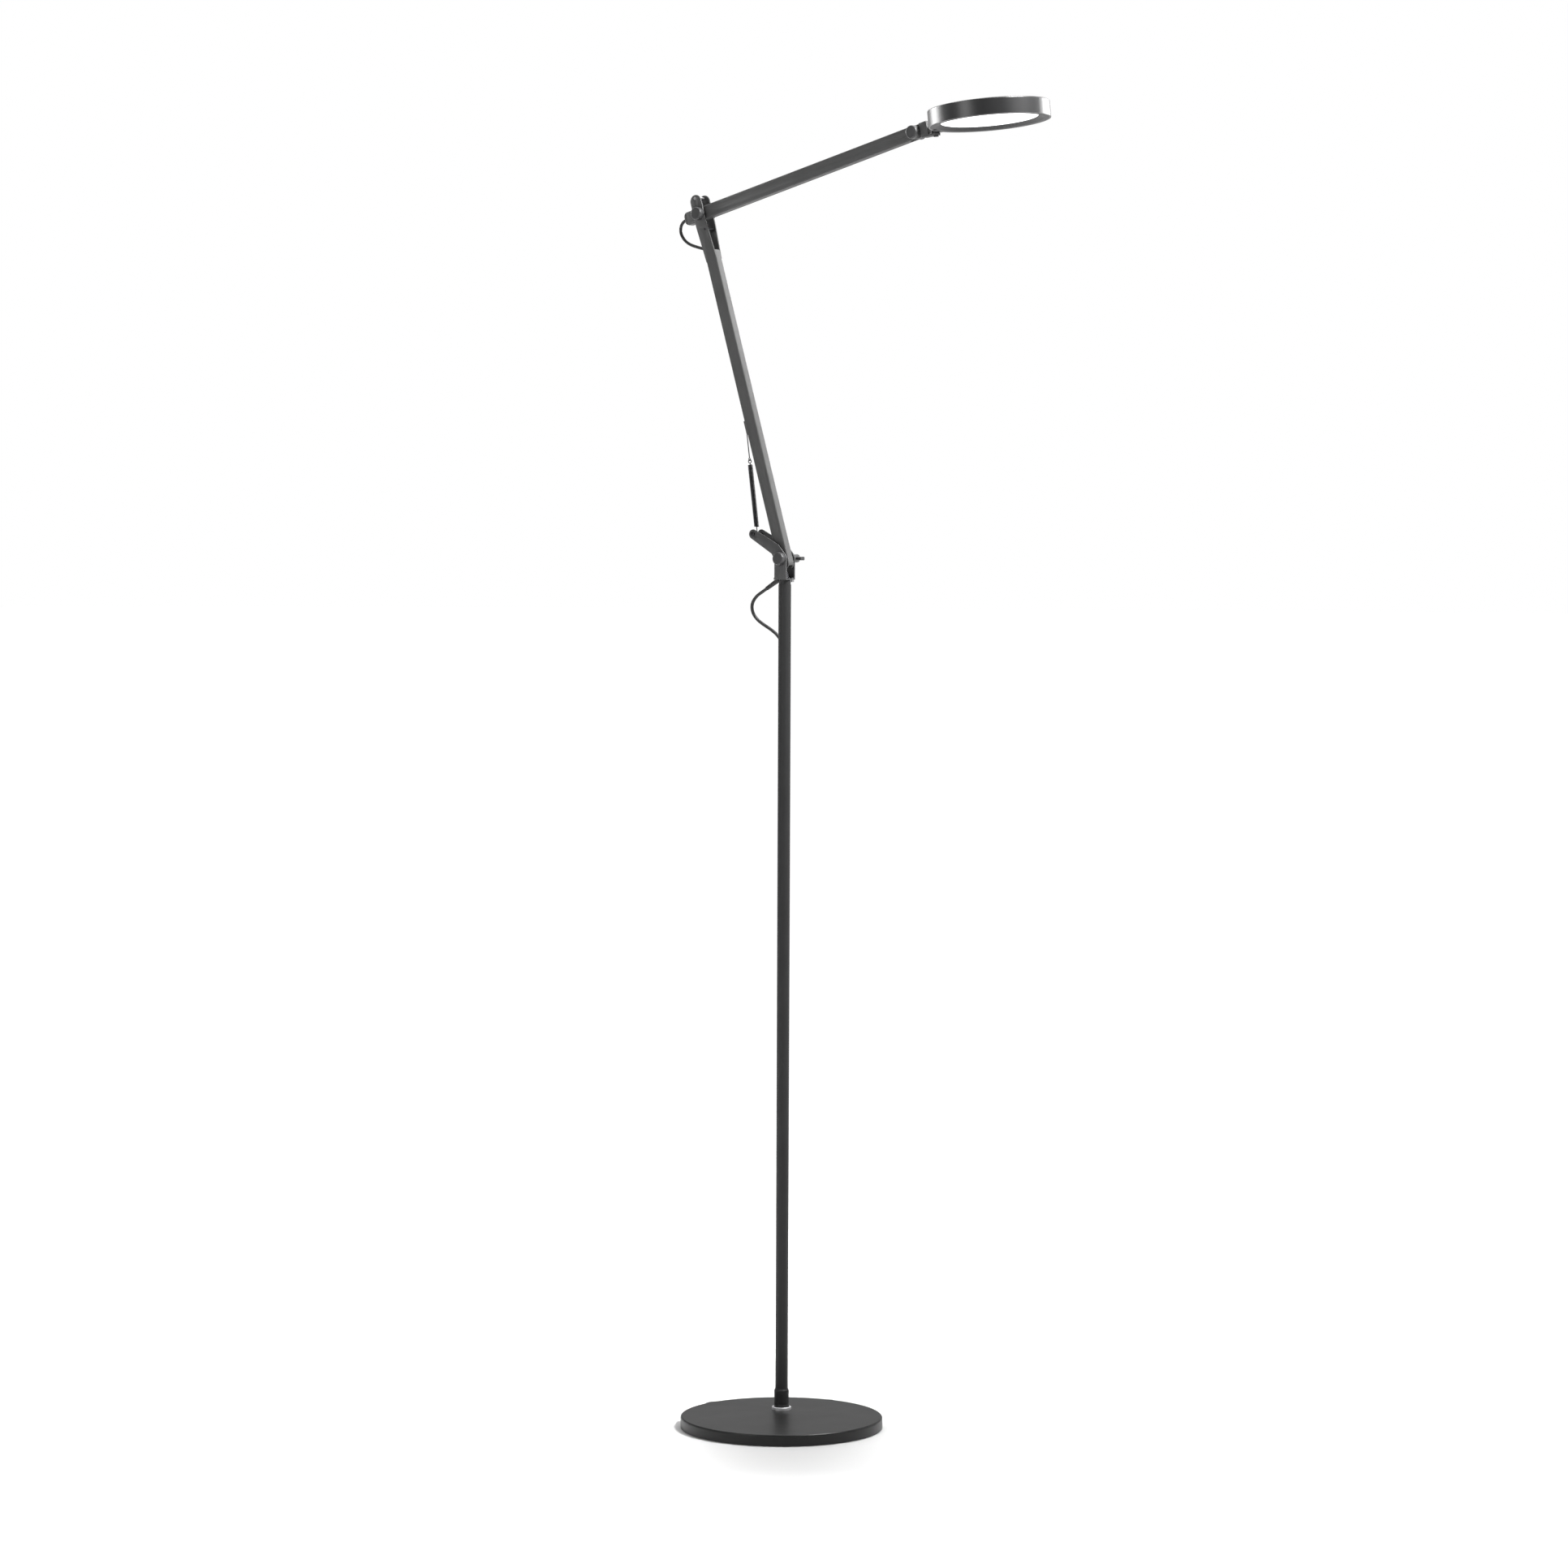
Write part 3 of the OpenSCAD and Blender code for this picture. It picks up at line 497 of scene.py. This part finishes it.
def floor_with_painted_shadow(near, right):
    """White floor with a painted shadow: a soft grey pool, longer than wide, from the base towards the front."""
    f = Finish("floor_with_painted_shadow")
    across = f.measured("DOT_PRODUCT", right / PAINTED_SHADOW_WIDE, -1, 1, -1, 1, "LINEAR")
    along = f.measured("DOT_PRODUCT", near / PAINTED_SHADOW_LONG, -1, 1, -1 - PAINTED_SHADOW_FROM, 1 - PAINTED_SHADOW_FROM, "LINEAR")
    spot = f.tree.nodes.new("ShaderNodeCombineXYZ")
    f.tree.links.new(across, spot.inputs["X"])
    f.tree.links.new(along, spot.inputs["Y"])
    out = f.measured("DISTANCE", (0, 0, 0), 0.14, 1, 0, 1, place=spot.outputs["Vector"])
    behind = f.measured("DOT_PRODUCT", near, -0.03, 0.12, 1, 0)
    white = f.tree.nodes.new("ShaderNodeMath")
    white.operation = "MAXIMUM"
    f.tree.links.new(out, white.inputs[0])
    f.tree.links.new(behind, white.inputs[1])
    # painted shadow: the base colour turns grey inside the pool and stays white outside it and behind the lamp
    f.link(f.ramp(white.outputs["Value"], 0, 1, (0.43, 0.43, 0.43), (0.78, 0.78, 0.78)), "Base Color")
    f.link(f.measured("DISTANCE", (0, 0, 0), 0.3, 0.62, 0.04, 0.85), "Emission Strength")
    f.set(Roughness=0.9, Specular_IOR_Level=0.1, Emission_Color=(1, 1, 1, 1))
    return f.material


def studio_world(behind, strength):
    """White room, bright behind the lamp and dim in front; plain white where it is seen directly."""
    world = bpy.data.worlds.new("studio")
    world.use_nodes = True
    tree = world.node_tree
    lit, seen = tree.nodes["Background"], tree.nodes.new("ShaderNodeBackground")
    for node in (lit, seen):
        node.inputs["Color"].default_value = (1, 1, 1, 1)
    seen.inputs["Strength"].default_value = 1.0
    place = tree.nodes.new("ShaderNodeTexCoord")
    dot = tree.nodes.new("ShaderNodeVectorMath")
    dot.operation = "DOT_PRODUCT"
    dot.inputs[1].default_value = behind
    reach = tree.nodes.new("ShaderNodeMapRange")
    reach.interpolation_type = "SMOOTHSTEP"
    for socket, value in (("From Min", -0.4), ("From Max", 0.8), ("To Min", 0.14 * strength),
                          ("To Max", strength)):
        reach.inputs[socket].default_value = value
    path = tree.nodes.new("ShaderNodeLightPath")
    mix = tree.nodes.new("ShaderNodeMixShader")
    for a, b in ((place.outputs["Generated"], dot.inputs[0]),
                 (dot.outputs["Value"], reach.inputs["Value"]),
                 (reach.outputs["Result"], lit.inputs["Strength"]),
                 (path.outputs["Is Camera Ray"], mix.inputs["Fac"]),
                 (lit.outputs["Background"], mix.inputs[1]),
                 (seen.outputs["Background"], mix.inputs[2]),
                 (mix.outputs["Shader"], tree.nodes["World Output"].inputs["Surface"])):
        tree.links.new(a, b)
    return world


FINISHES = {}


def finishes():
    """All finishes, made once from the colour settings."""
    if FINISHES:
        return FINISHES
    c = bpy.context.scene.lamp_colours
    FINISHES.update(
        powder_black=coated("powder_coat", tuple(c.powder), (0.44, 0.54), 0.28, 1300, 0.00008, 0.25),
        base_black=coated("base_coat", shade(c.powder, 0.35), (0.34, 0.42), 0.36, 1300, 0.00005, 0.2),
        arm_black=coated("arm_coat", tuple(c.arm), (0.5, 0.6), 0.3, 1700, 0.0001, 0.35),
        sheet_black=coated("sheet_coat", tuple(c.sheet), (0.46, 0.58), 0.3, 1700, 0.0001, 0.3),
        cap_black=moulded("moulded_cap", tuple(c.moulded)),
        head_black=moulded("satin_shade", tuple(c.shade), (0.3, 0.36), 0.62, True),
        bezel_grey=moulded("moulded_bezel", tuple(c.bezel), (0.44, 0.52), 0.28),
        rubber_black=rubbery("black_rubber", tuple(c.rubber)),
        cord_black=rubbery("cord_jacket", tuple(c.rubber), (0.42, 0.56)),
        zinc=metal("zinc_plate", tuple(c.zinc)),
        satin_zinc=metal("satin_zinc", shade(c.zinc, 1.35), (0.5, 0.62)),
        dark_steel=metal("black_oxide", tuple(c.oxide), (0.3, 0.45)),
        aluminium=metal("plain_aluminium", (0.75, 0.75, 0.76), (0.3, 0.45), (1, 30, 1)),
        brass=metal("pin_brass", (0.76, 0.58, 0.28), (0.18, 0.3), (30, 1, 1)),
        opal=opal("opal_diffuser", bpy.context.scene.lamp_stage.glow),
        board_white=circuit("white_board", (0.85, 0.85, 0.83), (0.7, 0.6, 0.4)),
        board_green=circuit("green_board", (0.02, 0.12, 0.04), (0.1, 0.3, 0.1)),
        led_yellow=moulded("led_phosphor", (0.9, 0.75, 0.3), (0.3, 0.4)),
    )
    return FINISHES


def dress(*nodes, material=None):
    """Gives CAD nodes that stay as they are their finish, by the record's material slot."""
    for node in nodes:
        item = frame["nodes"][node]
        item.data.materials.clear()
        item.data.materials.append(finishes()[material or slot_of_node(node)])


# ---- pieces ------------------------------------------------------------------


class LampOperator:
    """Shared settings of the lamp's operators."""

    bl_options = {"REGISTER", "UNDO"}


class LAMP_OT_camera(LampOperator, bpy.types.Operator):
    """Place the camera at standing height, looking a little down at the lamp"""

    bl_idname = "lamp.camera"
    bl_label = "Camera"

    def execute(self, context):
        s = context.scene.lamp_stage
        ahead = Vector((-math.sin(s.azimuth), math.cos(s.azimuth), 0))
        right = Vector((math.cos(s.azimuth), math.sin(s.azimuth), 0))
        up = Vector((0, 0, 1))
        view = math.cos(s.pitch) * ahead - math.sin(s.pitch) * up
        above = math.cos(s.pitch) * up + math.sin(s.pitch) * ahead
        x = math.cos(s.roll) * right + math.sin(s.roll) * above
        y = math.cos(s.roll) * above - math.sin(s.roll) * right
        data = bpy.data.cameras.new("camera")
        data.lens, data.sensor_width = s.lens, 36
        data.clip_start, data.clip_end = 0.1, 100
        camera = bpy.data.objects.new("camera", data)
        turn = Matrix((x, y, -view)).transposed().to_4x4()
        camera.matrix_world = Matrix.Translation(-s.distance * ahead + s.height * up) @ turn
        context.collection.objects.link(camera)
        context.scene.camera = camera
        return {"FINISHED"}


class LAMP_OT_mains_cord(LampOperator, bpy.types.Operator):
    """Lay the mains cord from the bracket down behind the pole to its hank and plug"""

    bl_idname = "lamp.mains_cord"
    bl_label = "Mains cord"

    def execute(self, context):
        route = mains_route()
        diameter = context.scene.lamp_sizes.cord
        piece = wire_tube("mains_cord", route, diameter)
        put(piece, None, finishes()["cord_black"],
            ["cord_loop", "cord_drop", "cord_coil", "cord_tail"])
        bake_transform(piece)
        dress("cord_gland", "cord_ties", "cord_clips")
        plug = softened("plug_body", "mains_plug", 0.0007, finishes()["rubber_black"], 3)
        blades = softened("plug_blades", "mains_plug_blades", 0.0002, finishes()["brass"])
        print("mains cord", round(line_length(route), 3), "m")
        return {"FINISHED"}


class LAMP_OT_elbow_lead(LampOperator, bpy.types.Operator):
    """Bridge the elbow with the short lead between the two arms"""

    bl_idname = "lamp.elbow_lead"
    bl_label = "Elbow lead"

    def execute(self, context):
        route = jumper_route()
        diameter = context.scene.lamp_sizes.jumper
        piece = wire_tube("elbow_jumper", route, diameter)
        put(piece, None, finishes()["cord_black"], ["elbow_lead"])
        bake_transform(piece)
        print("elbow lead", round(line_length(route), 4), "m")
        return {"FINISHED"}


class LAMP_OT_balance_spring(LampOperator, bpy.types.Operator):
    """Wind the balance spring with an eye at each end"""

    bl_idname = "lamp.balance_spring"
    bl_label = "Balance spring"

    def execute(self, context):
        s = context.scene.lamp_sizes
        wire, radius = s.spring_wire, (s.spring_coil - s.spring_wire) / 2
        bm = bmesh.new()
        stand = Matrix.Translation((radius, 0, WOUND_FROM + wire / 2))
        bmesh.ops.create_circle(bm, cap_ends=True, segments=8, radius=wire / 2,
                                matrix=stand @ Matrix.Rotation(math.pi / 2, 4, "X"))
        steps = STEPS_PER_TURN * s.spring_turns
        rise = (WOUND_TO - WOUND_FROM - wire) / steps
        bmesh.ops.spin(bm, geom=list(bm.faces), cent=(0, 0, 0), axis=(0, 0, 1), dvec=(0, 0, rise),
                       angle=2 * math.pi * s.spring_turns, steps=steps, use_merge=False)
        for (eye, ring), end in ((PIN_EYE, WOUND_FROM), (WIRE_EYE, WOUND_TO)):
            before = set(bm.verts)
            circle = bmesh.ops.create_circle(bm, cap_ends=False, segments=8, radius=wire / 2,
                                             matrix=Matrix.Translation((ring, 0, 0)))
            edges = list({e for v in circle["verts"] for e in v.link_edges})
            bmesh.ops.spin(bm, geom=circle["verts"] + edges, cent=(0, 0, 0), axis=(0, 1, 0), dvec=(0, 0, 0),
                           angle=2 * math.pi, steps=28, use_merge=True)
            fresh = [v for v in bm.verts if v not in before]
            bmesh.ops.transform(bm, matrix=Matrix.Translation((0, 0, eye)), verts=fresh)
            near = eye + (ring if end > eye else -ring)
            stem = Matrix.Translation((0, 0, (near + end) / 2))
            bmesh.ops.create_cone(bm, cap_ends=True, segments=8, radius1=wire / 2, radius2=wire / 2,
                                  depth=abs(end - near) + wire, matrix=stem)
            inward = wire / 2 if end < WOUND_TO else -wire / 2
            reach = Matrix.Translation((radius / 2, 0, end + inward)) @ Matrix.Rotation(math.pi / 2, 4, "Y")
            bmesh.ops.create_cone(bm, cap_ends=True, segments=8, radius1=wire / 2, radius2=wire / 2,
                                  depth=radius, matrix=reach)
        bmesh.ops.remove_doubles(bm, verts=bm.verts, dist=1e-7)
        bmesh.ops.recalc_face_normals(bm, faces=bm.faces)
        turn = Matrix.Translation(LEVER_PIN) @ Matrix.Rotation(SPRING_LEAN, 4, "Y")
        bmesh.ops.transform(bm, matrix=turn, verts=bm.verts)
        piece = finish_mesh(bm, "spring_coil", 50)
        put(piece, "balance", finishes()["dark_steel"], ["balance_spring"])
        dress("balance_wire")
        return {"FINISHED"}


class LAMP_OT_bracket(LampOperator, bpy.types.Operator):
    """Round the swivel bracket's sheet edges and finish its fittings"""

    bl_idname = "lamp.bracket"
    bl_label = "Swivel bracket"

    def execute(self, context):
        edge = context.scene.lamp_sizes.sheet_edge
        softened("bracket", "swivel_bracket", edge, finishes()["sheet_black"])
        softened("clamp_knob", "clamp_wing", 0.0005, finishes()["cap_black"], 3)
        softened("swivel_nut", "swivel_lock_nut", 0.0003, finishes()["dark_steel"])
        softened("lever_pin", "lever_pin_rivet", 0.0003, finishes()["dark_steel"])
        dress("bracket_rivet", "shoulder_bolt", "shoulder_cap", "clamp_washer", "shoulder_washers",
              "swivel_stud")
        # the swivel bush takes the black powder coat, which also stands in for the shade where the pole meets the
        # bracket: painted shade
        dress("swivel_bush", material="powder_black")
        return {"FINISHED"}


class LAMP_OT_arms(LampOperator, bpy.types.Operator):
    """Round the cut edges of the two arms, the fork and the neck"""

    bl_idname = "lamp.arms"
    bl_label = "Arms"

    def execute(self, context):
        edge = context.scene.lamp_sizes.section_edge
        coat = finishes()["arm_black"]
        softened("lower_arm", "lower_arm_section", edge, coat)
        softened("upper_arm", "upper_arm_section", edge, coat)
        softened("neck", "head_neck", edge, coat)
        softened("upper_arm_end_cap", "arm_end_cap", edge, coat)
        softened("wire_guide", "wire_guide_lips", 0.0003, coat)
        softened("fork_spacer", "fork_spacer_tube", 0.0003, finishes()["dark_steel"])
        dress("lower_arm_block", "fork_stop_pin", "elbow_bolt", "elbow_caps", "elbow_washers",
              "lower_arm_lead", "upper_arm_bush", "upper_arm_lead", "tilt_pin", "tilt_caps", "pan_washer")
        return {"FINISHED"}


class LAMP_OT_base(LampOperator, bpy.types.Operator):
    """Finish the base, the pole and their fittings"""

    bl_idname = "lamp.base"
    bl_label = "Base and pole"

    def execute(self, context):
        dress("base_pad", "base_bolt", "pole_tube", "pole_foot_plug", "pole_collar")
        dress("base_plate", material="base_black")
        dress("foot_washer", material="satin_zinc")
        dress("pole_top_plug", material="powder_black")
        return {"FINISHED"}


class LAMP_OT_head(LampOperator, bpy.types.Operator):
    """Finish the lamp head and light its diffuser"""

    bl_idname = "lamp.head"
    bl_label = "Lamp head"

    def execute(self, context):
        dress("head_housing", "head_bezel", "diffuser", "led_board", "leds", "heat_plate", "driver_board",
              "plate_screws", "power_button", "button_switch", "pan_screw")
        return {"FINISHED"}


class LAMP_OT_stage(LampOperator, bpy.types.Operator):
    """Set a pale floor with a painted shadow pool, and soft studio light"""

    bl_idname = "lamp.stage"
    bl_label = "Stage"

    def execute(self, context):
        s = context.scene.lamp_stage
        right = Vector((math.cos(s.azimuth), math.sin(s.azimuth), 0))
        near = Vector((math.sin(s.azimuth), -math.cos(s.azimuth), 0))
        up = Vector((0, 0, 1))
        low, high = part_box("head_housing")
        head = (Vector(low) + Vector(high)) / 2
        bm = bmesh.new()
        bmesh.ops.create_circle(bm, cap_ends=True, segments=96, radius=40)
        floor = finish_mesh(bm, "floor")
        floor.data.materials.append(floor_with_painted_shadow(near, right))
        # places run towards the camera, to its right and up, in metres; spreads are in degrees
        for name, place, aim, size, power, spread in (
            ("overhead", 3.6 * up - 1.2 * near, 0.2 * up, (3.0, 3.0), s.key, 180),
            ("left_panel", 2.3 * near - 2.1 * right + 1.9 * up, 1.0 * up, (1.1, 2.4), s.side, 180),
            ("arm_panel", 0.7 * near + 1.7 * right + 3.1 * up, 1.34 * up, (0.8, 0.8), 0.95 * s.side, 55),
            ("left_rim", -1.26 * near - 1.8 * right + 1.9 * up, head, (1.3, 0.6), s.rim, 35),
            ("right_rim", -1.26 * near + 1.8 * right + 1.9 * up, head, (1.3, 0.6), s.rim, 35),
        ):
            data = bpy.data.lights.new(name, "AREA")
            data.shape, data.energy = "RECTANGLE", power
            data.size, data.size_y = size
            data.spread = math.radians(spread)
            lamp = bpy.data.objects.new(name, data)
            lamp.location = place
            lamp.rotation_euler = (place - aim).to_track_quat("Z", "Y").to_euler()
            context.collection.objects.link(lamp)
        context.scene.world = studio_world(-near, s.room)
        context.scene.view_settings.view_transform = "Standard"
        return {"FINISHED"}


class LAMP_PT_panel(bpy.types.Panel):
    """Lists the lamp's settings and pieces"""

    bl_idname = "LAMP_PT_panel"
    bl_label = "Floor Lamp"
    bl_space_type = "VIEW_3D"
    bl_region_type = "UI"
    bl_category = "Floor Lamp"

    def draw(self, context):
        for settings in (context.scene.lamp_sizes, context.scene.lamp_colours, context.scene.lamp_stage):
            box = self.layout.box()
            for name in settings.__annotations__:
                box.prop(settings, name)
        for operator in OPERATORS:
            self.layout.operator(operator.bl_idname)


SETTINGS = {"lamp_sizes": LampSizes, "lamp_colours": LampColours, "lamp_stage": LampStage}
OPERATORS = (LAMP_OT_camera, LAMP_OT_mains_cord, LAMP_OT_elbow_lead, LAMP_OT_balance_spring,
             LAMP_OT_bracket, LAMP_OT_arms, LAMP_OT_base, LAMP_OT_head, LAMP_OT_stage)


def register():
    for group in SETTINGS.values():
        bpy.utils.register_class(group)
    for name, group in SETTINGS.items():
        setattr(bpy.types.Scene, name, PointerProperty(type=group))
    for item in (*OPERATORS, LAMP_PT_panel):
        bpy.utils.register_class(item)


def unregister():
    for item in reversed((*OPERATORS, LAMP_PT_panel)):
        bpy.utils.unregister_class(item)
    for name in SETTINGS:
        delattr(bpy.types.Scene, name)
    for group in SETTINGS.values():
        bpy.utils.unregister_class(group)


def main():
    register()
    for operator in OPERATORS:
        group, name = operator.bl_idname.split(".")
        if getattr(getattr(bpy.ops, group), name)() != {"FINISHED"}:
            raise RuntimeError(operator.bl_label + " was not finished")


if __name__ == "__main__":
    main()
